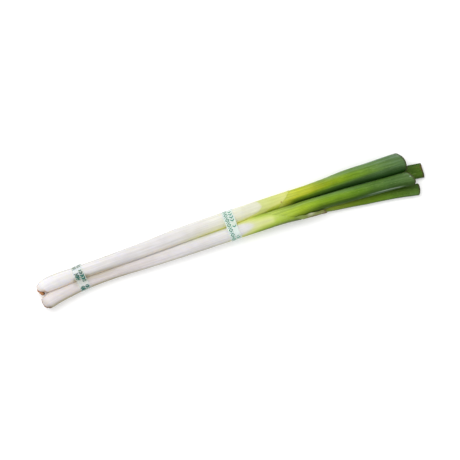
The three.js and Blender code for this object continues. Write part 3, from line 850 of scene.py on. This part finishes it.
for name, blade in blades.items():
    rows = blade["rows"]
    cut = blade["cut"]
    start = rows[0][0]
    rim_turn = np.linspace(0, np.pi, RIM_RINGS)[1:]
    skin_x = np.linspace(start + 6, cut["x"], int((cut["x"] - start) / BLADE_STEP))
    back_x = np.linspace(cut["x"] - 1, blade["hollow_from"], HOLLOW_RINGS)
    x, grow, fraction, inner = profile(
        ([start, start + 2.5], 0.0, [0.3, 0.72], 0.0),
        (skin_x, 0.0, 1.0, 0.0),
        (cut["x"] + 0.35 * np.sin(rim_turn), 0.5 * BLADE_WALL * (np.cos(rim_turn) - 1), 1.0, 0.5),
        (back_x, -BLADE_WALL, 1.0, 1.0),
        (blade["hollow_from"] - 3, -BLADE_WALL, 0.5, 1.0),
    )
    angle = np.linspace(0, 2 * np.pi, BLADE_SIDES, endpoint=False)[None, :]
    seed = blade["seed"]
    near_cut = ease(x, cut["x"] - CUT_FRAY, cut["x"])
    frayed = 0.35 * waves(seed, 0 * x, angle, 4, (2, 6), (50, 90))
    frayed = frayed + 0.12 * waves(seed + 1, 0 * x, angle, 6, (9, 30), (50, 90))
    station = slanted(rows, cut, x, angle, fraction) + near_cut * frayed
    swell = 0.22 * waves(seed + 2, x, angle, 6, (2, 5), (70, 190))
    ribs = 0.05 * waves(seed + 3, x, angle, 10, (12, 34), (90, 260))
    ridge_turn, ridge_height = blade["ridge"]
    ridge_turn = ridge_turn + RIDGE_TWIST * (x - 150)
    ridge = ridge_height * near_angle(angle, ridge_turn, RIDGE_SPREAD) * ease(x, 130, 200)
    out_of_neck = ease(x, *blade["neck"])
    relief = (swell + ribs + ridge) * out_of_neck + NECK_FILL * (1 - out_of_neck)
    if blade["slot"] == "upper_blade":
        seam = SEAM_TURN[blade["onion"]]
        squeeze = near_angle(angle, seam, 0.6) * (1 - near_cut) * (inner < 1)
        lean = blade["lean"] * (1 - ease(x, 150, 185))
        relief = relief + squeeze * (0.25 + 1.05 * (1 - ease(x, 108, 140)) + lean)
    rings = skin(rows, station, angle, grow + relief, fraction)
    growth = station + blade["crown_lag"] * (1 - np.sin(angle)) * ease(x, 90, 130)
    # the flank lag reaches deeper greens on the -Y flank: painted shade against the other onion
    growth = growth + blade["flank_lag"] * ease(-np.cos(angle), 0.0, 0.6) * ease(x, 80, 110)
    all_over = np.ones_like(growth)
    dried = ease(x, cut["x"] - 2.4, cut["x"] - 0.6) * (inner < 1) * all_over
    material = plant_skin(
        name, blade["colours"], blade_tints | blade["tints"],
        BLADE_GLOSS, BLADE_DEPTH, BLADE_DRIFT, blade["specks"],
    )
    piece = add_tube(
        name, rings, material, fibre=fibre_coordinates(station, angle), growth=growth,
        # painted shade on the flanks, waxy bloom with painted sky reflection, and painted highlights
        deep=flank_zones(angle, x, blade["deep"]), bloom=flank_zones(angle, x, blade["bloom"]),
        chalk=streak_zones(angle, x, blade["chalk"]), inner=(inner >= 1) * all_over,
        solid=all_over, cut=0.85 * dried,
    )
    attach(piece, "root")
    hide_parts(blade["node"])


# Dry scrap of sheath
# The outermost sheath of the lower onion has dried and torn back, all but one papery scrap that
# goes on from the mouth and ends in a point. It is a thin, brittle, dull olive skin.

SCRAP_WALL = 0.3
SCRAP_ROOT = 1.5  # it starts this far inside the mouth
SCRAP_TIP = 144.5  # and its tip is about here
SCRAP_STEPS = 90
SCRAP_ACROSS = 36
SCRAP_RELIEF = (0.5, 0.15)


def scrap_material():
    """Papery dry skin: dull pale olive with veins along it, and brown where its edge is torn."""
    material, tree, shader = new_material("dry_sheath")
    fibre = attribute(tree, "fibre", "Vector")
    veins = grain(tree, stretch(tree, fibre, (30.0, 900.0, 900.0)), 1.0, 3.0)
    clouds = grain(tree, fibre, 160.0, 2.0)
    colour = colour_scale(tree, veins, [
        (0.3, tone(90, 100, 38)), (0.5, tone(114, 124, 52)), (0.75, tone(138, 146, 76)),
    ])
    colour = blended(tree, between(tree, clouds, 0.5, 0.7, 0.0, 0.3), colour, tone(150, 154, 106))
    colour = blended(tree, attribute(tree, "fresh"), colour, tone(118, 138, 54))
    colour = blended(tree, attribute(tree, "bleached"), colour, tone(198, 202, 168))
    colour = blended(tree, attribute(tree, "dried"), colour, tone(88, 66, 36))
    feed(tree, shader.inputs["Base Color"], colour)
    shader.inputs["Roughness"].default_value = 0.7
    add_relief(tree, shader, veins, SCRAP_RELIEF)
    return material


rows = shaft_rows["b"]
mouth = shaft_mouths["b"]
along = np.linspace(0, 1, SCRAP_STEPS)[:, None]
across = np.linspace(-1, 1, SCRAP_ACROSS)[None, :]
upper_edge = 125 + 2 * along + 2.0 * waves(41, 40 * along, 0 * along, 5, (1, 4), (5, 16))
lower_edge = 200 - 22 * along + 2.0 * waves(42, 40 * along, 0 * along, 5, (1, 4), (5, 16))
angle = np.radians(0.5 * (upper_edge + lower_edge) + 0.5 * across * (lower_edge - upper_edge))
rim = slanted(rows, mouth, np.full_like(angle, mouth["x"]), angle) - SCRAP_ROOT
torn_tip = SCRAP_TIP + 2.0 * across + 0.9 * waves(43, 9 * across, 0 * across, 5, (1, 4), (3, 9))
x = rim + (torn_tip - rim) * along
lift = 0.25 + 0.25 * along * np.cos(9 * along + 3 * across) + full_flank("b", x, angle)
outer = skin(rows, x, angle, lift)
under = skin(rows, x, angle, lift - SCRAP_WALL)
loop = np.concatenate([outer, under[:, ::-1]], axis=1)
fibres = fibre_coordinates(x, angle)
lower_half = 0.75 * ease(across, -0.4, 0.2)
edge_zone = np.maximum(lower_half, ease(along, 0.93, 1.0)) * ease(x, 110, 122)
fresh = 1 - ease(x, 106, 118)
bleached = 0.65 * np.exp(-(((x - 122) / 5) ** 2)) * ease(-across, 0.0, 0.8)


def both_faces(values):
    """The values of the outer face, and again for the inner face, whose order is reversed."""
    return np.concatenate([values, values[:, ::-1]], axis=1)


scrap = add_tube(
    "dry_sheath_b", loop, scrap_material(), fibre=both_faces(fibres), dried=both_faces(edge_zone),
    fresh=both_faces(fresh), bleached=both_faces(bleached),
)
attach(scrap, "root")
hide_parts("stalk_b_dry_sheath")


# Plastic tapes
# Two bands of thin, half clear film hold the onions together. Each is pulled tight right round
# both shafts, laps over itself underneath, and carries a plain green ornament.

TAPE_WIDTH = 16.0
FILM_WALL = 0.15
FILM_GAP = 0.1
FILM_LAP = 9.0
FILM_ACROSS = 13
FILM_AROUND = 420
FILM_TINT = tone(234, 247, 241)
CHAIN_PLACE = -3.4
CHAIN_PERIOD = 7.6
LOZENGE_REACH = 3.4
LOZENGE_SLOPE = 2.6  # millimetres across a lozenge's side for each unit of its own measure
LOZENGE_LINE = 0.76  # where its line lies, from 0 at its middle to 1 at its corners
NOTCH_PLACE = 2.4
CHEVRON_PLACE = 3.7
CHEVRON_PERIOD = 4.6
CHEVRON_SLOPE = 0.9
CHEVRON_REACH = 2.8
INK_EDGE = 0.15  # half the width over which a printed edge fades
INK_FADE = 0.4  # half the width over which a run of print starts or ends


def film_material(name, stroke, tint, veil):
    """Half clear film with a printed ornament in two columns: a chain of open lozenges with a bead
    in each, and a run of chevrons. print is across and round the film in mm, and printed says how
    strongly each column is inked there. A stroke is half a line's width, in mm."""
    material, tree, shader = new_material(name)
    split = tree.nodes.new("ShaderNodeSeparateXYZ")
    feed(tree, split.inputs[0], attribute(tree, "print", "Vector"))
    across = split.outputs[0]
    around = split.outputs[1]
    strengths = tree.nodes.new("ShaderNodeSeparateXYZ")
    feed(tree, strengths.inputs[0], attribute(tree, "printed", "Vector"))

    def repeated(value, period):
        """Distance of the value from the nearest multiple of the period."""
        return calculate(tree, "PINGPONG", value, period / 2)

    def off(value, place):
        """Distance of the value from a place."""
        return calculate(tree, "ABSOLUTE", calculate(tree, "SUBTRACT", value, place))

    def inked(distance, reach):
        """1 inside the reach, and 0 outside it."""
        return between(tree, distance, reach - INK_EDGE, reach + INK_EDGE, 1.0, 0.0)

    def most(*inks):
        """The darkest of several inks."""
        total = inks[0]
        for ink in inks[1:]:
            total = calculate(tree, "MAXIMUM", total, ink)
        return total

    def times(first, second):
        """The product of two numbers."""
        return calculate(tree, "MULTIPLY", first, second)

    from_chain = off(across, CHAIN_PLACE)
    lozenge = calculate(
        tree, "ADD", calculate(tree, "DIVIDE", from_chain, LOZENGE_REACH),
        calculate(tree, "DIVIDE", repeated(around, CHAIN_PERIOD), 0.5 * CHAIN_PERIOD),
    )
    outline = inked(times(off(lozenge, LOZENGE_LINE), LOZENGE_SLOPE), stroke)
    bead = inked(times(lozenge, LOZENGE_SLOPE), 0.9 * stroke)
    halfway = repeated(calculate(tree, "ADD", around, 0.5 * CHAIN_PERIOD), CHAIN_PERIOD)
    notch = inked(calculate(tree, "ADD", off(from_chain, NOTCH_PLACE), halfway), 1.4 * stroke)
    slope = times(off(across, CHEVRON_PLACE), CHEVRON_SLOPE)
    bent = calculate(tree, "ADD", around, slope)
    chevron = inked(repeated(bent, CHEVRON_PERIOD), 1.7 * stroke)
    column = inked(off(across, CHEVRON_PLACE), CHEVRON_REACH)
    chain = times(most(outline, bead, notch), strengths.outputs[0])
    chevrons = times(times(chevron, column), strengths.outputs[1])
    worn = grain(tree, attribute(tree, "print", "Vector"), 0.5, 3.0)
    ink = times(most(chain, chevrons), between(tree, worn, 0.36, 0.52, 0.75, 1.0))
    colour = blended(tree, between(tree, ink, 0.0, 0.3), FILM_TINT, tint)
    feed(tree, shader.inputs["Base Color"], colour)
    shader.inputs["Roughness"].default_value = 0.3
    shader.inputs["Specular IOR Level"].default_value = 0.35
    feed(tree, shader.inputs["Alpha"], between(tree, ink, 0.0, 1.0, veil, 0.95))
    return material


def stretched_loop(points, offset, count):
    """Corners of a loop pulled tight round the points: each side just touches them in its own
    direction, moved out by the offset, and a corner is where two neighbouring sides meet."""
    a = np.linspace(0, 2 * np.pi, count, endpoint=False) - np.pi / 2
    b = np.roll(a, -1)
    reach = offset + (points @ np.stack([np.cos(a), np.sin(a)])).max(axis=0)
    after = np.roll(reach, -1)
    sine = np.sin(b - a)
    return np.column_stack([
        (reach * np.sin(b) - after * np.sin(a)) / sine,
        (after * np.cos(a) - reach * np.cos(b)) / sine,
    ])


def inked_runs(across_bunch, runs):
    """How strongly a column of print is inked. A run is the two places across the bunch between
    which it lies, and its share, and the runs are added up."""
    total = 0.0 * across_bunch
    for low, high, share in runs:
        begun = ease(across_bunch, low - INK_FADE, low + INK_FADE)
        ended = ease(across_bunch, high - INK_FADE, high + INK_FADE)
        total = total + share * begun * (1 - ended)
    return total


tapes = {
    "tape_root_end": {
        "turn": 7.3, "seed": 51, "stroke": 0.95, "veil": 0.2,
        "tint": tone(34, 102, 88),
        "chain": [(15.5, 19.5, 0.3), (4.2, 9.5, 0.45), (-1.0, 4.2, 0.8), (-17.4, -11.8, 0.95)],
        "chevrons": [(15.9, 19.5, 0.35), (4.2, 12.0, 0.45), (-6.0, 4.2, 1.0), (-17.4, -11.8, 0.95)],
    },
    "tape_middle": {
        "turn": 2.3, "seed": 52, "stroke": 0.55, "veil": 0.45,
        "tint": tone(44, 140, 116),
        "chain": [(-30.0, 30.0, 0.42), (-21.5, -17.0, 0.4)],
        "chevrons": [(5.0, 20.0, 0.55), (-4.0, -1.0, 0.6), (-21.5, -17.0, 0.8)],
    },
}
for name, tape in tapes.items():
    turn = np.radians(tape["turn"])
    forward = np.array([np.cos(turn), np.sin(turn), 0.0])
    sideways = np.array([-np.sin(turn), np.cos(turn), 0.0])
    upward = np.array([0.0, 0.0, 1.0])
    tape_x, tape_y = TAPE_PLACES[name]
    centre = np.array([tape_x, tape_y, 0.0])
    x = np.linspace(tape_x - 14, tape_x + 14, 29)[:, None]
    angle = np.linspace(0, 2 * np.pi, 360, endpoint=False)[None, :]
    held = [skin(rows, x + 0 * angle, angle, 0.0).reshape(-1, 3) for rows in shaft_rows.values()]
    wrapped = np.vstack(held) - centre
    wrapped = wrapped[np.abs(wrapped @ forward) <= 0.5 * TAPE_WIDTH + 0.5]
    flat = np.column_stack([wrapped @ sideways, wrapped[:, 2]])
    loop = stretched_loop(flat, FILM_GAP, 720)
    loop = np.vstack([loop, loop[:1]])
    run = np.concatenate([[0], np.cumsum(np.linalg.norm(np.diff(loop, axis=0), axis=1))])
    length = run[-1]
    place = np.linspace(0, length + FILM_LAP, FILM_AROUND)
    path = np.column_stack([np.interp(place % length, run, loop[:, i]) for i in (0, 1)])
    ahead = unit(np.roll(path, -1, axis=0) - np.roll(path, 1, axis=0))
    ahead[0] = ahead[1]
    ahead[-1] = ahead[-2]
    outward = np.column_stack([ahead[:, 1], -ahead[:, 0]])
    climb = (FILM_WALL + 0.03) * ease(place, length - 5, length)
    across = np.linspace(-0.5, 0.5, FILM_ACROSS) * TAPE_WIDTH
    edge = 0.15 * waves(tape["seed"], place, np.zeros(1), 5, (1, 3), (9, 40))[:, None]
    slack = 0.05 * waves(tape["seed"] + 1, place[:, None], across[None, :] / 6, 6, (1, 4), (8, 30))
    top = across[None, :] + edge * np.sign(across)[None, :]

    def sheet_at(height):
        """Points of the film at a height above its inner face: along the loop by rows, across
        the tape by columns."""
        spot = path[:, None] + outward[:, None] * (climb[:, None] + slack + height)[..., None]
        level = centre + spot[..., :1] * sideways + top[..., None] * forward
        return level + spot[..., 1:] * upward

    outer = sheet_at(FILM_WALL)
    under = sheet_at(0.0)
    band = np.concatenate([under, outer[:, ::-1]], axis=1)
    prints = np.stack(np.broadcast_arrays(across[None, :], place[:, None], 0.0), axis=-1)
    chain, chevrons = [inked_runs(path[:, 0], tape[key])[:, None] for key in ("chain", "chevrons")]
    printed = np.stack(np.broadcast_arrays(chain, chevrons, 0.0 * across[None, :]), axis=-1)
    material = film_material(name, tape["stroke"], tape["tint"], tape["veil"])
    piece = add_tube(
        name.replace("tape", "film"), band, material,
        print=both_faces(prints), printed=both_faces(printed),
    )
    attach(piece, "root")
    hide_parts(name)


# Surface, light and camera
# The bunch lies on a plain pale surface under a large soft light, seen from straight above. The
# camera is rolled so that the bunch runs up to the right.

VIEW_HEIGHT = 2.2
VIEW_CENTRE = (0.0005, 0.0034)
VIEW_PLANE = 0.012
VIEW_WIDTH = 0.6808
VIEW_ROLL = -18.2
SENSOR_WIDTH = 36.0
SURFACE_SIZE = 20.0
SURFACE_GLOW = 0.12
SKY_STRENGTH = 0.92
LAMP_PLACE = (-0.45, 1.40, 2.10)
LAMP_SIZE = 1.8
LAMP_POWER = 30.0

bpy.ops.mesh.primitive_plane_add(size=SURFACE_SIZE, location=(0.0, 0.0, 0.0))
surface = bpy.context.object
surface.name = "surface"
surface_material, surface_tree, surface_shader = new_material("pale_surface")
surface_shader.inputs["Base Color"].default_value = (0.93, 0.93, 0.93, 1.0)
surface_shader.inputs["Roughness"].default_value = 0.9
surface_shader.inputs["Emission Color"].default_value = (1.0, 1.0, 1.0, 1.0)
surface_shader.inputs["Emission Strength"].default_value = SURFACE_GLOW
surface.data.materials.append(surface_material)

world = bpy.data.worlds.new("soft_room")
bpy.context.scene.world = world
world.use_nodes = True
world.node_tree.nodes["Background"].inputs["Color"].default_value = (0.99, 0.99, 1.0, 1.0)
world.node_tree.nodes["Background"].inputs["Strength"].default_value = SKY_STRENGTH


def add_lamp(name, place, size, power, colour):
    """A square soft light at a place, aimed at the middle of the bunch."""
    lamp = bpy.data.lights.new(name, "AREA")
    lamp.size = size
    lamp.energy = power
    lamp.color = colour
    holder = bpy.data.objects.new(name, lamp)
    bpy.context.scene.collection.objects.link(holder)
    holder.location = place
    tilt = np.arctan2(np.hypot(place[0], place[1]), place[2])
    holder.rotation_euler = (tilt, 0.0, np.arctan2(place[0], -place[1]))


add_lamp("window", LAMP_PLACE, LAMP_SIZE, LAMP_POWER, (1.0, 0.99, 0.98))

camera = bpy.data.cameras.new("camera")
camera.sensor_width = SENSOR_WIDTH
camera.lens = SENSOR_WIDTH * (VIEW_HEIGHT - VIEW_PLANE) / VIEW_WIDTH
camera_holder = bpy.data.objects.new("camera", camera)
bpy.context.scene.collection.objects.link(camera_holder)
camera_holder.location = (*VIEW_CENTRE, VIEW_HEIGHT)
camera_holder.rotation_euler = (0.0, 0.0, np.radians(VIEW_ROLL))
bpy.context.scene.camera = camera_holder
bpy.context.scene.view_settings.view_transform = "Standard"
